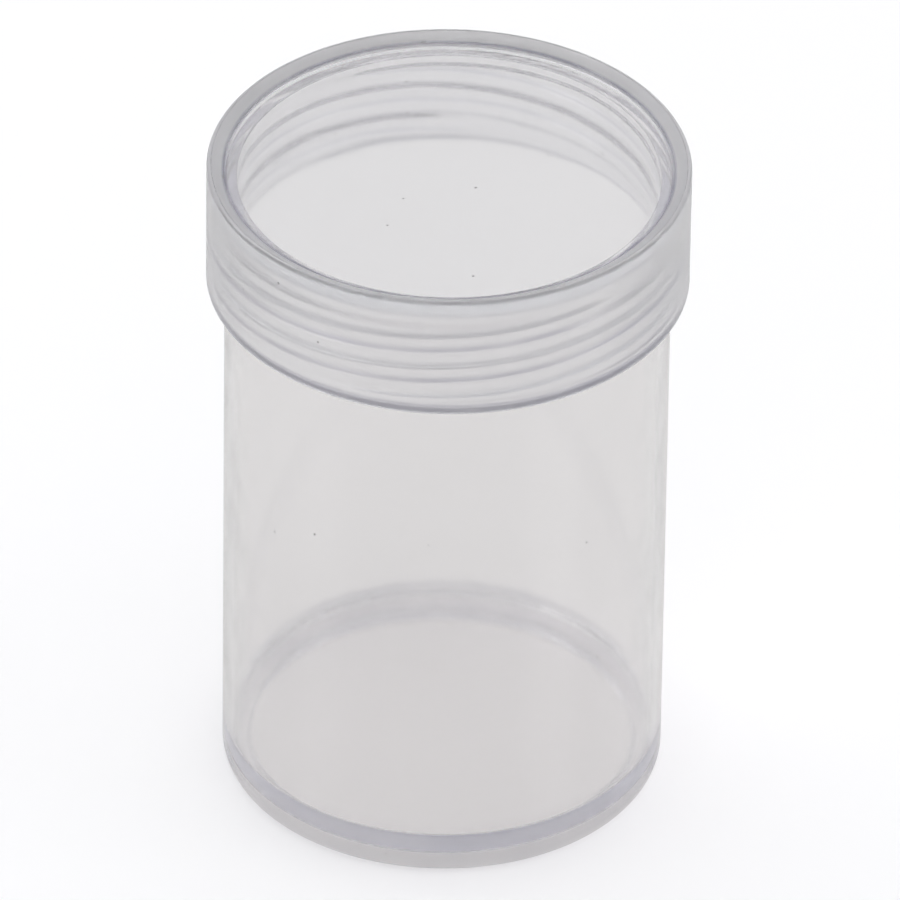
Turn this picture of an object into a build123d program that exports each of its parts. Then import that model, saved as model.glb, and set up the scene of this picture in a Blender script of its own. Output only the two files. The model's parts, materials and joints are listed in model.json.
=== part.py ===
from build123d import *
import os

# A round screw-top tube that keeps a roll of large silver coins, in millimetres.
# The origin is the middle of the ring that the tube stands on, and +Z runs up the tube's axis.
# It is two clear mouldings: the tube, and a smooth cap whose skirt screws down over the tube's mouth.
# The cap's rim stands above its flat top and slopes down to it, so that another tube's foot finds its seat there.

# The coins that the tube is made for
coin_diameter = 40.6
coin_gap = 0.45         # free space all round a coin, so that it drops in flat
coin_depth = 64.1       # floor to mouth: a roll of twenty coins and a little room above it

# Tube
tube_wall = 1.2
floor_thickness = 2.65
foot_height = 1.65      # how far the foot ring lifts the floor's underside
foot_width = 0.9        # flat width of the foot ring
foot_draft = 0.15       # how far the foot ring's inner side leans in
base_round = 1.6        # outside corner between wall and foot
floor_round = 0.3       # inside corner between wall and floor, so that a coin lies flat
foot_round = 0.3        # corner between the foot ring's inner side and the floor's underside
mouth_lead_in = 0.2     # bevel that guides a coin into the mouth
mouth_bevel = 0.2       # bevel outside the mouth, where the cap starts

# Cap
cap_top = 1.45          # thickness of the flat top
cap_wall = 1.25
rim_height = 0.65       # how far the rim stands above the flat top
stacking_gap = 0.1      # free space round the foot of a tube that stands inside the rim
skirt_depth = 11.15     # how far the skirt reaches below the tube's mouth
thread_room = 0.55      # space between tube and skirt, which the two threads share
rim_crest = 0.1         # flat width of the rim's top edge
rim_outer_round = 0.4   # outer edge of the rim
rim_corner_round = 0.15  # corner between the rim's sloping inner side and the flat top
cap_corner_round = 0.35  # inside corner between the flat top and the skirt
skirt_round = 0.3       # outer edge at the foot of the skirt
skirt_lead_in = 0.4     # bevel inside the foot of the skirt

# Sizes that follow from those above
bore_radius = coin_diameter / 2 + coin_gap
tube_radius = bore_radius + tube_wall
floor_level = foot_height + floor_thickness
mouth_level = floor_level + coin_depth
foot_outer_radius = tube_radius - base_round
foot_inner_radius = foot_outer_radius - foot_width
skirt_bore_radius = tube_radius + thread_room
cap_radius = skirt_bore_radius + cap_wall
cap_top_level = mouth_level + cap_top
recess_radius = tube_radius + stacking_gap
crest_radius = cap_radius - rim_outer_round - rim_crest
rim_level = cap_top_level + rim_height
skirt_level = mouth_level - skirt_depth


def block(radius, low, high):
    """Half section of a round block: a rectangle from the axis out to its radius."""
    return Pos(radius / 2, (low + high) / 2) * Rectangle(radius, high - low)


def corner(section, radius, level):
    """The corner of a half section that lies at this radius and height."""
    return section.vertices().sort_by_distance(Vector(radius, level))[0]


def turned(section):
    """The solid of revolution of a half section, standing on its axis."""
    return revolve(Plane.XZ * section, Axis.Z)


def make_tube():
    """Straight thin wall on a thick floor, standing on a foot ring, with a plain open mouth."""
    outside = block(tube_radius, 0, mouth_level)
    outside = fillet(corner(outside, tube_radius, 0), base_round)
    outside = chamfer(corner(outside, tube_radius, mouth_level), mouth_bevel)

    bore = block(bore_radius, floor_level, mouth_level)
    bore = fillet(corner(bore, bore_radius, floor_level), floor_round)

    lead_in = make_face(
        Polyline(
            (bore_radius, mouth_level - mouth_lead_in),
            (bore_radius + mouth_lead_in, mouth_level),
            (bore_radius, mouth_level),
            close=True,
        )
    )

    hollow_foot = make_face(
        Polyline(
            (0, 0),
            (foot_inner_radius, 0),
            (foot_inner_radius - foot_draft, foot_height),
            (0, foot_height),
            close=True,
        )
    )
    hollow_foot = fillet(corner(hollow_foot, foot_inner_radius - foot_draft, foot_height), foot_round)

    return turned(outside - bore - lead_in - hollow_foot)


def make_cap():
    """Flat top that rests on the tube's mouth, between a dished rim and a plain round skirt."""
    outside = block(cap_radius, skirt_level, rim_level)
    outside = fillet(corner(outside, cap_radius, rim_level), rim_outer_round)
    outside = fillet(corner(outside, cap_radius, skirt_level), skirt_round)

    inside = block(skirt_bore_radius, skirt_level, mouth_level)
    inside = fillet(corner(inside, skirt_bore_radius, mouth_level), cap_corner_round)

    lead_in = make_face(
        Polyline(
            (skirt_bore_radius, skirt_level + skirt_lead_in),
            (skirt_bore_radius + skirt_lead_in, skirt_level),
            (skirt_bore_radius, skirt_level),
            close=True,
        )
    )

    recess = make_face(
        Polyline(
            (0, cap_top_level),
            (recess_radius, cap_top_level),
            (crest_radius, rim_level),
            (0, rim_level),
            close=True,
        )
    )
    recess = fillet(corner(recess, recess_radius, cap_top_level), rim_corner_round)

    return turned(outside - inside - lead_in - recess)


os.makedirs("parts", exist_ok=True)
export_step(make_tube(), "parts/tube.step")
export_step(make_cap(), "parts/screw_cap.step")
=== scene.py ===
import json
import math

import bpy
from mathutils import Matrix, Vector


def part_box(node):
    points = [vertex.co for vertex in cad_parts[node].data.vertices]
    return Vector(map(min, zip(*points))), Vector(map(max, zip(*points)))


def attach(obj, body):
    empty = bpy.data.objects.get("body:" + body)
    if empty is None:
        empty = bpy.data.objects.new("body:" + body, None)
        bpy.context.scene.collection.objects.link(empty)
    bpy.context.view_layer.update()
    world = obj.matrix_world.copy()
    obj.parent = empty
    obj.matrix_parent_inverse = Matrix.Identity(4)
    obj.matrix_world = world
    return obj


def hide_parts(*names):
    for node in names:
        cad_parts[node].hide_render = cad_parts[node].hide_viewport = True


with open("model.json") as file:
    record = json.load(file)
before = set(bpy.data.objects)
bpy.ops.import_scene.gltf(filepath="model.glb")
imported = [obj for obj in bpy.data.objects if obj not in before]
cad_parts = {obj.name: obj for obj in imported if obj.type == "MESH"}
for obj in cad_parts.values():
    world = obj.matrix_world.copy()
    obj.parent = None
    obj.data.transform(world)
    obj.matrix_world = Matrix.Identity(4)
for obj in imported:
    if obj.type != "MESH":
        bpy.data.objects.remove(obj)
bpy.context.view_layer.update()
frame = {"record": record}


# Tube: one injection moulding in clear polystyrene, a thin straight wall on a thick floor.
# It stands on a narrow foot ring, and a right-hand thread with two starts runs below its mouth.
# The coins drop into its plain bore, and nothing is fixed to it but the cap.

# Sizes of the tube and of both threads, in millimetres
tube_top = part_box("tube")[1] * 1000
skirt_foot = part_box("screw_cap")[0].z * 1000
coin_bore = next(mount for mount in frame["record"]["mounts"] if mount["name"] == "coin_bore")

tube_radius = tube_top.x
bore_radius = coin_bore["dims"]["r_mm"]
mouth = tube_top.z
mouth_gap = 0.03        # keeps the mouth just clear of the cap's flat top
mouth_round = 0.15
floor_round = 0.3
tube_floor = coin_bore["pos_m"][2] * 1000 - coin_bore["dims"]["length_mm"] / 2 - floor_round
base_round = 1.6
foot_width = 0.9
foot_draft = 0.15
foot_height = 1.65
foot_edge_round = 0.15
foot_round = 0.3        # corner between the foot ring and the floor's underside
foot_outer = tube_radius - base_round
foot_inner = foot_outer - foot_width

# Painted shade: the band round the tube's base is painted darker, most along a line at its top.
shade_line_rise = 0.48     # from the tube's floor up to the darkest painted line
shade_line_level = tube_floor + shade_line_rise
line_fade = 0.12
line_width = 0.25
band_height = 1.7
band_fade = 0.3
line_shade = 1.0
band_shade = 0.5
base_shade = 0.4

thread_lead = 7.15
thread_starts = 2
ridge_spacing = thread_lead / thread_starts
ridge_width = 1.7
ridge_flank = 1.0
ridge_height = 0.36
ridge_shade = 0.6       # how far the painted shade on a ridge's lower edge reaches up it
cap_ridge_bearing = 95  # where a ridge of the cap stands on the skirt's foot, in degrees from +X
cap_ridge_level = skirt_foot + ridge_width / 2 - thread_lead * cap_ridge_bearing / 360
tube_ridge_level = cap_ridge_level + ridge_spacing / 2
plain_mouth = 1.2       # plain wall above the thread
below_skirt = 0.2       # how far the thread reaches below the cap's skirt
thread_top = mouth - plain_mouth
thread_foot = skirt_foot - below_skirt
rows_per_ridge = 28
columns = 420

thread_lengths = (
    "Lead", "Ridge Level", "Ridge Height", "Ridge Width", "Flank Width", "Shade Width",
    "Zone Low", "Zone High", "Zone Flank",
)
thread_shares = ("Shade Depth", "First Turn", "Last Turn", "Run In", "Run Out")
thread_form = {
    "Columns": columns,
    "Starts": thread_starts,
    "Lead": thread_lead,
    "Ridge Width": ridge_width,
    "Flank Width": ridge_flank,
    "Shade Width": ridge_shade,
}


def add_node(tree, kind, inputs=None, **settings):
    """One node of a tree, its inputs filled with plain values or with other nodes' outputs."""
    made = tree.nodes.new(kind)
    for name, value in settings.items():
        setattr(made, name, value)
    for key, value in (inputs or {}).items():
        if isinstance(value, bpy.types.NodeSocket):
            tree.links.new(value, made.inputs[key])
        else:
            made.inputs[key].default_value = value
    return made


def sum_node(tree, operation, *values):
    """The result of one Math node."""
    return add_node(tree, "ShaderNodeMath", dict(enumerate(values)), operation=operation).outputs[0]


def ramp(tree, value, low, high, start=0, end=1):
    """A smooth passage from one number to another while a value goes from low to high."""
    return add_node(
        tree,
        "ShaderNodeMapRange",
        {"Value": value, "From Min": low, "From Max": high, "To Min": start, "To Max": end},
        interpolation_type="SMOOTHSTEP",
    ).outputs[0]


def thread_mould():
    """Tree that turns a half section round the Z axis and winds thread ridges on its thread rows."""
    tree = bpy.data.node_groups.new("turned moulding with screw thread", "GeometryNodeTree")
    tree.interface.new_socket("Half Section", in_out="INPUT", socket_type="NodeSocketGeometry")
    for name in ("Columns", "Starts"):
        tree.interface.new_socket(name, in_out="INPUT", socket_type="NodeSocketInt")
    for name in thread_lengths + thread_shares:
        tree.interface.new_socket(name, in_out="INPUT", socket_type="NodeSocketFloat")
    tree.interface.new_socket("Material", in_out="INPUT", socket_type="NodeSocketMaterial")
    tree.interface.new_socket("Moulding", in_out="OUTPUT", socket_type="NodeSocketGeometry")
    given = add_node(tree, "NodeGroupInput").outputs
    section = given["Half Section"]

    def sums(operation, *values):
        return sum_node(tree, operation, *values)

    def of_row(value, data_type="FLOAT"):
        return add_node(
            tree,
            "GeometryNodeSampleIndex",
            {"Geometry": section, "Value": value, "Index": row},
            data_type=data_type,
        ).outputs[0]

    def stored(name):
        return add_node(
            tree, "GeometryNodeInputNamedAttribute", {"Name": name}, data_type="FLOAT"
        ).outputs["Attribute"]

    # A grid of points: each column is the half section at one bearing, and each row goes once round the axis.
    rows = add_node(
        tree, "GeometryNodeAttributeDomainSize", {"Geometry": section}, component="MESH"
    ).outputs["Point Count"]
    sheet = add_node(
        tree, "GeometryNodeMeshGrid", {"Vertices X": sums("ADD", given["Columns"], 1), "Vertices Y": rows}
    ).outputs["Mesh"]
    index = add_node(tree, "GeometryNodeInputIndex").outputs[0]
    row = sums("FLOORED_MODULO", index, rows)
    column = sums("FLOOR", sums("DIVIDE", sums("ADD", index, 0.5), rows))
    turn = sums("DIVIDE", column, given["Columns"])
    angle = sums("MULTIPLY", turn, math.tau)
    place = of_row(add_node(tree, "GeometryNodeInputPosition").outputs[0], "FLOAT_VECTOR")
    place = add_node(tree, "ShaderNodeSeparateXYZ", {0: place}).outputs
    radius, level = place["X"], place["Z"]
    threaded = of_row(stored("thread_row"))

    # A thread row climbs by one lead in each turn and stays inside the thread's zone.
    low, high = given["Zone Low"], given["Zone High"]
    climbed = sums("MULTIPLY_ADD", given["Lead"], turn, level)
    held = add_node(tree, "ShaderNodeClamp", {"Value": climbed, "Min": low, "Max": high}).outputs[0]
    depth = sums("MINIMUM", sums("SUBTRACT", held, low), sums("SUBTRACT", high, held))
    inside = ramp(tree, depth, 0, given["Zone Flank"])
    height = add_node(
        tree, "ShaderNodeMix", {"Factor": threaded, "A": level, "B": held}, data_type="FLOAT"
    ).outputs[0]

    # Across the ridge: a flat crest between two flanks, cut off at the zone's ends.
    spacing = sums("DIVIDE", given["Lead"], given["Starts"])
    ridges = sums("DIVIDE", sums("SUBTRACT", level, given["Ridge Level"]), spacing)
    nearest = sums("FLOOR", sums("ADD", ridges, 0.5))
    above = sums("MULTIPLY", sums("SUBTRACT", ridges, nearest), spacing)
    across = sums("ABSOLUTE", above)
    half_width = sums("MULTIPLY", given["Ridge Width"], 0.5)
    half_flank = sums("MULTIPLY", given["Flank Width"], 0.5)
    flank_start = sums("SUBTRACT", half_width, half_flank)
    flank_end = sums("ADD", half_width, half_flank)
    crest = ramp(tree, across, flank_start, flank_end, start=1, end=0)

    # Along the ridge: a run-in and a run-out.
    along = sums("ADD", sums("DIVIDE", nearest, given["Starts"]), turn)
    first, last = given["First Turn"], given["Last Turn"]
    run_in = ramp(tree, along, first, sums("ADD", first, given["Run In"]))
    run_out = ramp(tree, along, sums("SUBTRACT", last, given["Run Out"]), last, start=1, end=0)
    present = sums("MULTIPLY", sums("MULTIPLY", run_in, run_out), sums("MULTIPLY", inside, threaded))
    ridge = sums("MULTIPLY", sums("MULTIPLY", crest, present), given["Ridge Height"])
    reach = sums("ADD", radius, ridge)

    # Painted shade: the lower edge of a ridge is painted darker, most at the edge itself and less and less
    # above it.
    over_edge = sums("ADD", above, half_width)
    below_edge = ramp(tree, over_edge, sums("MULTIPLY", half_flank, -0.5), 0)
    above_edge = ramp(tree, over_edge, 0, given["Shade Width"], start=1, end=0)
    edge_line = sums("MULTIPLY", sums("MULTIPLY", below_edge, above_edge), present)
    edge_line = sums("MULTIPLY", edge_line, given["Shade Depth"])
    shade = sums("MAXIMUM", edge_line, of_row(stored("edge_shade")))
    shaded = add_node(
        tree,
        "GeometryNodeStoreNamedAttribute",
        {"Geometry": sheet, "Name": "edge_shade", "Value": shade},
        data_type="FLOAT",
        domain="POINT",
    ).outputs[0]

    # Turned round the axis, and closed along its seam and at its poles
    spot = add_node(
        tree,
        "ShaderNodeCombineXYZ",
        {
            "X": sums("MULTIPLY", reach, sums("COSINE", angle)),
            "Y": sums("MULTIPLY", reach, sums("SINE", angle)),
            "Z": height,
        },
    ).outputs[0]
    turned = add_node(tree, "GeometryNodeSetPosition", {"Geometry": shaded, "Position": spot}).outputs[0]
    closed = add_node(tree, "GeometryNodeMergeByDistance", {"Geometry": turned, "Distance": 2e-6}).outputs[0]
    outward = add_node(tree, "GeometryNodeFlipFaces", {"Mesh": closed}).outputs[0]
    smooth = add_node(tree, "GeometryNodeSetShadeSmooth", {"Geometry": outward}).outputs[0]
    real = add_node(tree, "GeometryNodeRealizeInstances", {"Geometry": smooth}).outputs[0]
    finished = add_node(
        tree, "GeometryNodeSetMaterial", {"Geometry": real, "Material": given["Material"]}
    ).outputs[0]
    add_node(tree, "NodeGroupOutput", {"Moulding": finished})
    return tree


def half_section(corners, arc_steps=8, hold=0.06):
    """Points (radius, level, shade) of a half section: corners rounded, straights held flat beside them."""
    points = []
    for number, (radius, level, rounding, *shade) in enumerate(corners):
        here = Vector((radius, level))
        shade = shade[0] if shade else 0
        if not rounding:
            points.append((*here, shade))
            continue
        before = (Vector(corners[number - 1][:2]) - here).normalized()
        after = (Vector(corners[number + 1][:2]) - here).normalized()
        half_angle = before.angle(after) / 2
        reach = rounding / math.tan(half_angle)
        centre = here + (before + after).normalized() * rounding / math.sin(half_angle)
        start = (here + before * reach - centre).normalized()
        end = (here + after * reach - centre).normalized()
        arc = [centre + start.slerp(end, step / arc_steps) * rounding for step in range(arc_steps + 1)]
        for point in (here + before * (reach + hold), *arc, here + after * (reach + hold)):
            points.append((*point, shade))
    return points


def thread_rows(radius, top, foot):
    """Rows from the top of a thread's zone to a lead below its foot, which the mould tree lets climb."""
    step = ridge_spacing / rows_per_ridge
    count = math.ceil((top - foot + thread_lead) / step)
    return [(radius, top - number * step, 0) for number in range(count + 1)]


def mould(name, tree, above, thread, below, settings):
    """Runs the mould tree on a half section and keeps the result as a plain mesh."""
    points = above + thread + below
    outline = bpy.data.meshes.new(name + "_half_section")
    outline.from_pydata([(radius / 1000, 0, level / 1000) for radius, level, shade in points], [], [])
    flags = outline.attributes.new("thread_row", "FLOAT", "POINT")
    flags.data.foreach_set("value", [0.0] * len(above) + [1.0] * len(thread) + [0.0] * len(below))
    shades = outline.attributes.new("edge_shade", "FLOAT", "POINT")
    shades.data.foreach_set("value", [shade for radius, level, shade in points])
    piece = bpy.data.objects.new(name, outline)
    bpy.context.scene.collection.objects.link(piece)
    modifier = piece.modifiers.new("mould", "NODES")
    modifier.node_group = tree
    for item in tree.interface.items_tree:
        if item.name in thread_lengths:
            modifier[item.identifier] = settings[item.name] / 1000
        elif item.name in settings:
            modifier[item.identifier] = settings[item.name]
    moulded = piece.evaluated_get(bpy.context.evaluated_depsgraph_get())
    mesh = bpy.data.meshes.new_from_object(moulded)
    piece.modifiers.clear()
    piece.data = mesh
    mesh.name = name
    return piece


def fade(tree, factor, first, second):
    """One colour turning into another, each a red, green and blue share or another node's output."""
    first, second = (
        colour if isinstance(colour, bpy.types.NodeSocket) else (*colour, 1) for colour in (first, second)
    )
    # The colour sockets of a Mix node share their names with its other sockets, so they go by number.
    return add_node(
        tree, "ShaderNodeMix", {"Factor": factor, 6: first, 7: second}, data_type="RGBA"
    ).outputs[2]


def handling_marks():
    """Shader group for what handling leaves on clear plastic: scuffs, dust specks and a slight waviness."""
    group = bpy.data.node_groups.new("handling marks", "ShaderNodeTree")
    for name in ("Scuffs", "Specks", "Waviness"):
        group.interface.new_socket(name, in_out="OUTPUT", socket_type="NodeSocketFloat")
    place = add_node(group, "ShaderNodeTexCoord").outputs["Object"]
    rubbed = add_node(
        group,
        "ShaderNodeTexNoise",
        {"Vector": place, "Scale": 90, "Detail": 4, "Roughness": 0.6, "Distortion": 1.5},
    ).outputs[0]
    scuffs = ramp(group, rubbed, low=0.52, high=0.75)

    # Half of the pattern's cells hold a speck of dust.
    dust = add_node(group, "ShaderNodeTexVoronoi", {"Vector": place, "Scale": 250, "Randomness": 1})
    grain = add_node(
        group,
        "ShaderNodeMapRange",
        {"Value": dust.outputs["Distance"], "From Min": 0.02, "From Max": 0.05, "To Min": 1, "To Max": 0},
    ).outputs[0]
    chosen = add_node(group, "ShaderNodeSeparateColor", {0: dust.outputs["Color"]}).outputs[0]
    specks = sum_node(group, "MULTIPLY", grain, sum_node(group, "GREATER_THAN", chosen, 0.5))

    waviness = add_node(group, "ShaderNodeTexNoise", {"Vector": place, "Scale": 140, "Detail": 1}).outputs[0]
    add_node(group, "NodeGroupOutput", {"Scuffs": scuffs, "Specks": specks, "Waviness": waviness})
    return group


marks_group = handling_marks()
polished = 0.07         # roughness of a face that the mould leaves polished
scuffed = 0.05          # what a scuff adds to it
satin_finish = 0.25     # what a satin face adds to it
edge_least = 0.4        # how dark a shaded edge is at least
edge_swing = 1.2        # how much darker it gets along its length
nick_half_width = 0.012  # in radians
dirt = (0.25, 0.24, 0.24)
inner_tint = (0.72, 0.715, 0.78)
shadow_tint = (0.998, 0.994, 0.994)


def clear_plastic(name, colour, edge, density, satin_radius, satin_level, nicks=()):
    """Clear moulded plastic that lets light through, satin outside a radius or above a level."""
    material = bpy.data.materials.new(name)
    material.use_nodes = True
    tree = material.node_tree
    tree.nodes.clear()

    def sums(operation, *values):
        return sum_node(tree, operation, *values)

    marks = add_node(tree, "ShaderNodeGroup", node_tree=marks_group).outputs
    wavy = add_node(
        tree, "ShaderNodeBump", {"Strength": 0.15, "Distance": 0.0002, "Height": marks["Waviness"]}
    ).outputs[0]

    # Painted shade: edges marked in the edge_shade attribute are painted darker, unevenly along their length.
    shade = add_node(tree, "ShaderNodeAttribute", attribute_name="edge_shade").outputs["Fac"]
    uneven = sums("MULTIPLY", shade, sums("MULTIPLY_ADD", marks["Waviness"], edge_swing, edge_least))
    shaded = fade(tree, uneven, colour, edge)

    # The satin zone, outside a radius or above a level
    place = add_node(tree, "ShaderNodeTexCoord").outputs["Object"]
    place = add_node(tree, "ShaderNodeSeparateXYZ", {0: place}).outputs
    off_axis = sums("SQRT", sums("ADD", sums("POWER", place["X"], 2), sums("POWER", place["Y"], 2)))
    outside = sums("GREATER_THAN", off_axis, satin_radius / 1000)
    high = sums("GREATER_THAN", place["Z"], satin_level / 1000)
    satin = sums("MAXIMUM", outside, high)
    polish = sums("MULTIPLY_ADD", marks["Scuffs"], scuffed, polished)

    # Nicks are short dark stretches of the shaded edge above the satin level.
    bearing = sums("ARCTAN2", place["Y"], place["X"])
    nicked = 0.0
    for nick in nicks:
        aside = sums("ABSOLUTE", sums("SUBTRACT", bearing, math.radians(nick)))
        nicked = sums("MAXIMUM", nicked, sums("LESS_THAN", aside, nick_half_width))
    nicked = sums("MULTIPLY", nicked, sums("MULTIPLY", shade, high))

    plastic = add_node(
        tree,
        "ShaderNodeBsdfPrincipled",
        {
            "Base Color": fade(tree, sums("MAXIMUM", marks["Specks"], nicked), shaded, dirt),
            "Roughness": sums("MULTIPLY_ADD", satin, satin_finish, polish),
            "IOR": 1.57,
            "Transmission Weight": 0.97,
            "Normal": wavy,
        },
    )
    passing = add_node(tree, "ShaderNodeBsdfTransparent", {"Color": (*shadow_tint, 1)})
    ray = add_node(tree, "ShaderNodeLightPath")
    surface = add_node(
        tree,
        "ShaderNodeMixShader",
        {0: ray.outputs["Is Shadow Ray"], 1: plastic.outputs[0], 2: passing.outputs[0]},
    )
    inner = add_node(tree, "ShaderNodeVolumeAbsorption", {"Color": (*inner_tint, 1), "Density": density})
    add_node(tree, "ShaderNodeOutputMaterial", {"Surface": surface.outputs[0], "Volume": inner.outputs[0]})
    return material


past_the_tube = 2 * mouth  # no point of the tube lies as far out or as high, so all of it is polished
tube_plastic = clear_plastic(
    "clear_tube_plastic",
    colour=(0.977, 0.97, 0.97),
    # edge: the colour of the painted shade on the tube's marked edges
    edge=(0.45, 0.45, 0.53),
    density=13,
    satin_radius=past_the_tube,
    satin_level=past_the_tube,
)

mould_tree = thread_mould()
tube_inside = half_section(
    [
        (0, tube_floor, 0),
        (bore_radius, tube_floor, floor_round),
        (bore_radius, mouth - mouth_gap, mouth_round),
        (tube_radius, mouth - mouth_gap, mouth_round),
        (tube_radius, thread_top, 0),
    ]
)[:-1]
tube_outside = half_section(
    [
        (tube_radius, thread_foot - thread_lead, 0),
        # painted shade: the line and the band below it, then the base
        (tube_radius, shade_line_level + line_fade, 0),
        (tube_radius, shade_line_level, 0, line_shade),
        (tube_radius, shade_line_level - line_width, 0, band_shade),
        (tube_radius, shade_line_level - band_height, 0, band_shade),
        (tube_radius, shade_line_level - band_height - band_fade, 0, base_shade),
        (tube_radius, 0, base_round, base_shade),
        (foot_inner, 0, foot_edge_round),
        (foot_inner - foot_draft, foot_height, foot_round),
        (0, foot_height, 0),
    ],
    arc_steps=12,
)[1:]
tube = mould(
    "clear_tube",
    mould_tree,
    tube_inside,
    thread_rows(tube_radius, thread_top, thread_foot),
    tube_outside,
    {
        **thread_form,
        "Ridge Level": tube_ridge_level,
        "Ridge Height": ridge_height,
        "Shade Depth": 0.5,
        "Zone Low": thread_foot,
        "Zone High": thread_top,
        "Zone Flank": 0.8,
        "First Turn": 0.2,
        "Last Turn": 1.33,
        "Run In": 0.1,
        "Run Out": 0.02,
        "Material": tube_plastic,
    },
)
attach(tube, "tube")
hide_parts("tube")


# Cap: one injection moulding in the same clear polystyrene, a flat top inside a smooth round wall.
# Its inside thread winds down the tube's outside thread until the flat top lands on the tube's mouth.
# The wall stands above the flat top as a rim, so that another tube can stand inside it.

# Sizes of the cap, in millimetres
cap_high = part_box("screw_cap")[1] * 1000
cap_radius = cap_high.x
rim = cap_high.z
rim_height = 0.65
cap_top = rim - rim_height
rim_outer_round = 0.4
rim_crest = 0.1
crest_round = 0.06
stacking_gap = 0.1      # free space round the foot of a tube that stands inside the rim
recess_radius = tube_radius + stacking_gap
recess_round = 0.15
crest_radius = cap_radius - rim_outer_round - rim_crest
rim_slope = rim_height / (crest_radius - recess_radius)
thread_room = 0.55
skirt_bore = tube_radius + thread_room
skirt_round = 0.3
skirt_edge_round = 0.06
skirt_lead_in = 0.4
lead_in_round = 0.04
roof_round = 0.35       # inside corner between the skirt and the flat top

plain_roof = 0.8        # plain bore above the thread
plain_foot = 0.35       # plain bore between the skirt's lead-in and the thread
cap_thread_top = mouth - plain_roof
cap_thread_foot = skirt_foot + skirt_lead_in + plain_foot

# Painted shade: the recess's corner and the edges inside the skirt's foot are painted darker. A plain row on
# each side of the recess's corner keeps its painted dark line narrow.
flat_beside = 0.35
slope_beside = 0.3
below_thread = 0.05     # the last row of painted shade, just below the thread's zone
edge_shade = 0.9
lead_in_shade = 0.7

satin_wall = 0.7        # the outer part of the wall that has the outside's satin finish
satin_above_top = 0.02
rim_nicks = (97, -175, -119, -114, -108, -102)  # bearings in degrees from +X

cap_plastic = clear_plastic(
    "clear_cap_plastic",
    colour=(0.967, 0.969, 0.976),
    # edge: the colour of the painted shade on the cap's marked edges
    edge=(0.32, 0.32, 0.4),
    density=5,
    satin_radius=skirt_bore + satin_wall,
    satin_level=cap_top + satin_above_top,
    nicks=rim_nicks,
)
cap_shell = half_section(
    [
        (0, cap_top, 0),
        (recess_radius - flat_beside, cap_top, 0),
        (recess_radius, cap_top, recess_round, edge_shade),
        (recess_radius + slope_beside, cap_top + slope_beside * rim_slope, 0),
        (crest_radius, rim, crest_round),
        (cap_radius, rim, rim_outer_round),
        (cap_radius, skirt_foot, skirt_round),
        (skirt_bore + skirt_lead_in, skirt_foot, skirt_edge_round, edge_shade),
        (skirt_bore, skirt_foot + skirt_lead_in, lead_in_round, lead_in_shade),
        (skirt_bore, cap_thread_foot - below_thread, 0, edge_shade),
    ]
)
cap_roof = half_section(
    [
        (skirt_bore, cap_thread_top, 0),
        (skirt_bore, mouth, roof_round),
        (0, mouth, 0),
    ]
)[1:]
cap = mould(
    "clear_screw_cap",
    mould_tree,
    cap_shell,
    thread_rows(skirt_bore, cap_thread_top, cap_thread_foot)[::-1],
    cap_roof,
    {
        **thread_form,
        "Ridge Level": cap_ridge_level,
        "Ridge Height": -ridge_height,
        "Shade Depth": 0.8,
        "Zone Low": cap_thread_foot,
        "Zone High": cap_thread_top,
        "Zone Flank": 0.6,
        "First Turn": 40 / 360,
        "Last Turn": 1.38,
        "Run In": 0.01,
        "Run Out": 0.05,
        "Material": cap_plastic,
    },
)
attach(cap, "cap")
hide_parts("screw_cap")


# Set: a plain pale floor under soft studio light, seen from the photograph's side, in metres.
# The camera sees the floor white. Through the plastic and in its reflections the floor is greyer, and its
# colour is painted darker further off as painted shade, so that the clear walls stand out from the white
# around them.

floor_size = 3
floor_drop = 0.00005    # keeps the floor's face apart from the foot ring's
white_paper = (0.96, 0.96, 0.96)
near_paper = (0.73, 0.725, 0.712)
far_paper = (0.12, 0.12, 0.14)
low_sky = (0.3, 0.3, 0.34)
high_sky = (0.9, 0.9, 0.92)

bpy.ops.mesh.primitive_plane_add(size=floor_size, location=(0, 0, -floor_drop))
floor = bpy.context.object
floor.name = "studio_floor"
pale = bpy.data.materials.new("pale_floor")
pale.use_nodes = True
paper = pale.node_tree
rays = add_node(paper, "ShaderNodeLightPath").outputs
floor_place = add_node(paper, "ShaderNodeTexCoord").outputs["Object"]
away = add_node(paper, "ShaderNodeVectorMath", {0: floor_place}, operation="LENGTH").outputs["Value"]
# Painted shade: further from the tube the floor's colour darkens from near_paper to far_paper.
through = fade(paper, ramp(paper, away, low=0.25, high=0.6), near_paper, far_paper)
tone = fade(paper, rays["Is Camera Ray"], through, white_paper)
paper.links.new(tone, paper.nodes["Principled BSDF"].inputs["Base Color"])
paper.nodes["Principled BSDF"].inputs["Roughness"].default_value = 0.8
floor.data.materials.append(pale)

world = bpy.data.worlds.new("studio")
world.use_nodes = True
sky = world.node_tree
direction = add_node(sky, "ShaderNodeTexCoord").outputs["Generated"]
rise = add_node(sky, "ShaderNodeSeparateXYZ", {0: direction}).outputs["Z"]
glow = fade(sky, ramp(sky, rise, low=0.05, high=0.45), low_sky, high_sky)
sky.links.new(glow, sky.nodes["Background"].inputs["Color"])
sky.nodes["Background"].inputs["Strength"].default_value = 0.8
bpy.context.scene.world = world


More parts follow.
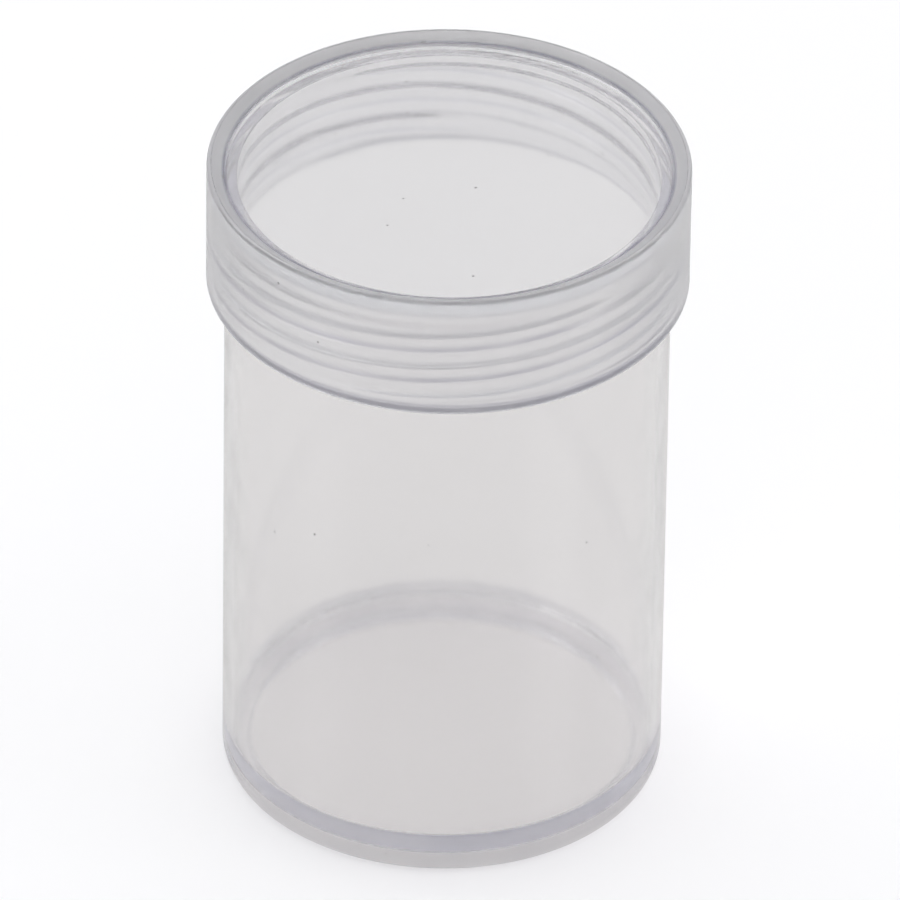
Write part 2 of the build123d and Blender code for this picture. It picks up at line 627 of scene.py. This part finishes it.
def softbox(name, place, aim, size, power):
    """One soft rectangular lamp, turned towards a point."""
    lamp = bpy.data.lights.new(name, "AREA")
    lamp.shape = "RECTANGLE"
    lamp.size, lamp.size_y = size
    lamp.energy = power
    holder = bpy.data.objects.new(name, lamp)
    holder.location = place
    holder.rotation_euler = (Vector(place) - Vector(aim)).to_track_quat("Z", "Y").to_euler()
    bpy.context.scene.collection.objects.link(holder)
    return holder


tube_foot = (0, 0, 0)
tube_middle = (0, 0, 0.03)
overhead = softbox("overhead", (-0.1, 0.15, 1.3), tube_foot, size=(0.5, 0.35), power=4.6)
softbox("left_key", (-1.1, -0.5, 0.9), tube_middle, size=(0.7, 0.9), power=3.3)
softbox("right_fill", (1.2, -0.3, 0.8), tube_middle, size=(0.6, 0.8), power=1.5)

# The lamp overhead isn't mirrored in the plastic, so that the inside shows through the cap's top from above.
overhead.visible_glossy = False
overhead.visible_transmission = False

view_distance = 1.6
view_height = math.radians(35.6)
view_roll = math.radians(0.8)
view_level = 0.03485
aim_right = 0.00045
aim_up = 0.00103
picture_pixels = 900
pixels_per_metre = 10100
field_width = picture_pixels / pixels_per_metre
right = Vector((1, 0, 0))
back = Vector((0, -math.cos(view_height), math.sin(view_height)))
up = back.cross(right)
view_aim = Vector((0, 0, view_level)) + right * aim_right + up * aim_up
tilted_right = right * math.cos(view_roll) + up * math.sin(view_roll)
tilted_up = up * math.cos(view_roll) - right * math.sin(view_roll)
lens = bpy.data.cameras.new("photograph_view")
lens.sensor_fit = "HORIZONTAL"
lens.sensor_width = 36
lens.lens = lens.sensor_width * view_distance / field_width
lens.clip_end = 20
camera = bpy.data.objects.new("photograph_view", lens)
camera.matrix_world = Matrix.Translation(view_aim + back * view_distance) @ Matrix(
    (tilted_right, tilted_up, back)
).transposed().to_4x4()
bpy.context.scene.collection.objects.link(camera)
bpy.context.scene.camera = camera
bpy.context.scene.view_settings.view_transform = "Standard"

light_bounces = 32      # enough for light to cross all the clear walls
for kind in ("max_bounces", "glossy_bounces", "transmission_bounces", "transparent_max_bounces"):
    setattr(bpy.context.scene.cycles, kind, light_bounces)
